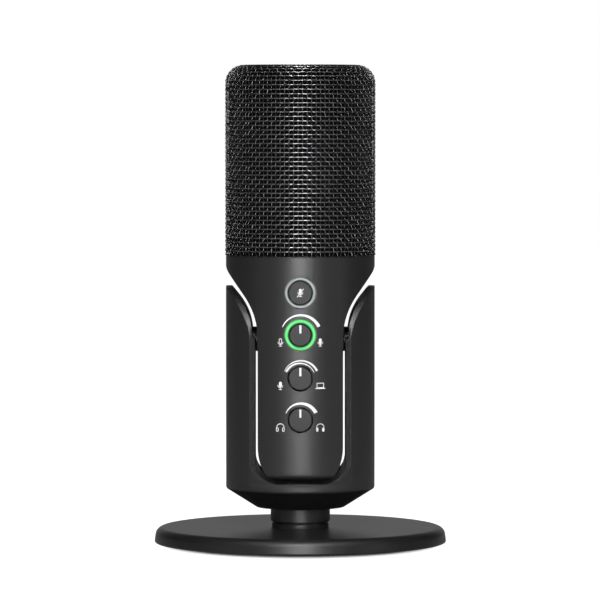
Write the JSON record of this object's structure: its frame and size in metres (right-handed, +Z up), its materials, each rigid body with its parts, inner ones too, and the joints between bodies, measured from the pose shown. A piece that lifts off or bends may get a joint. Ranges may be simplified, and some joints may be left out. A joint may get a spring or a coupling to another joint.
{
  "type": "desktop microphone",
  "caption": "Cylindrical side-address desktop microphone with woven grille, front knobs and mute button, tilting in a U-shaped yoke that turns on a round weighted base.",
  "frame": {"origin": "centre of the base's underside, on the desk", "axes": "+Z up, the controls face -Y, +X to the right seen from the front"},
  "size_m": [0.11, 0.11, 0.1802],
  "materials": {
    "base_paint": "satin black powder coat",
    "yoke_paint": "matte black powder coat",
    "housing_paint": "satin black paint",
    "grille_wire": "satin black coated steel wire",
    "steel": "zinc plated",
    "rubber": "matte",
    "nylon": "matte black nylon",
    "knob_plastic": "satin black",
    "white_mark": "white inlay",
    "green_light": "translucent light guide, lit green",
    "ring_grey": "satin grey",
    "foam": "open cell foam",
    "board": "solder mask",
    "component": "moulded epoxy",
    "chassis": "glass-filled nylon",
    "deck": "die cast",
    "contact_metal": "nickel plated",
    "capsule_metal": "satin",
    "lead": "PVC jacket"
  },
  "bodies": {
    "stand": {"base_plate": "base_paint", "base_pad": "rubber", "stud_bolt": "steel", "stand_post": "base_paint", "swivel_washer": "nylon"},
    "yoke": {"yoke": "yoke_paint", "yoke_stem": "yoke_paint", "stem_screws": "steel", "pivot_screws": "steel", "friction_washers": "nylon", "spring_washers": "steel"},
    "mic": {"housing": "housing_paint", "bottom_cover": "nylon", "bottom_cover_screws": "steel", "pivot_bushes": "nylon", "port_bezel": "nylon", "usb_c_shell": "contact_metal", "usb_c_tongue": "component", "headphone_jack": "component", "io_board": "board", "chassis_frame": "chassis", "control_board": "board", "main_board": "board", "board_screws": "steel", "board_components": "component", "mute_switch": "component", "mute_ring": "ring_grey", "gain_light_ring": "green_light", "control_leds": "white_mark", "deck_plate": "deck", "deck_screws": "steel", "capsule_bridge": "chassis", "bridge_screws": "steel", "capsule_mount": "rubber", "capsule": "capsule_metal", "capsule_lead": "lead", "grille_mesh": "grille_wire", "grille_inner_mesh": "grille_wire", "grille_foam": "foam", "grille_ring": "deck", "gain_pot": "component", "mix_pot": "component", "volume_pot": "component"},
    "gain_knob": {"gain_knob": "knob_plastic", "gain_pointer": "white_mark", "gain_shaft": "steel"},
    "mix_knob": {"mix_knob": "knob_plastic", "mix_pointer": "white_mark", "mix_shaft": "steel"},
    "volume_knob": {"volume_knob": "knob_plastic", "volume_pointer": "white_mark", "volume_shaft": "steel"},
    "mute_button": {"mute_button": "knob_plastic", "mute_plunger": "nylon"}
  },
  "joints": [
    {"name": "pan", "type": "hinge", "parent": "stand", "child": "yoke", "pos_m": [0, 0, 0.0111], "axis": [0, 0, 1], "continuous": true},
    {"name": "tilt", "type": "hinge", "parent": "yoke", "child": "mic", "pos_m": [0, 0, 0.0771], "axis": [1, 0, 0], "range_deg": [-12, 12]},
    {"name": "gain_turn", "type": "hinge", "parent": "mic", "child": "gain_knob", "pos_m": [0, -0.0298, 0.0799], "axis": [0, -1, 0], "range_deg": [-140, 140]},
    {"name": "mix_turn", "type": "hinge", "parent": "mic", "child": "mix_knob", "pos_m": [0, -0.0298, 0.0638], "axis": [0, -1, 0], "range_deg": [-140, 140]},
    {"name": "volume_turn", "type": "hinge", "parent": "mic", "child": "volume_knob", "pos_m": [0, -0.0298, 0.0484], "axis": [0, -1, 0], "range_deg": [-140, 140]},
    {"name": "mute_press", "type": "slide", "parent": "mic", "child": "mute_button", "axis": [0, 1, 0], "range_m": [0, 0.0005], "stiffness_N_per_m": 1500, "springref_m": -0.0005}
  ]
}
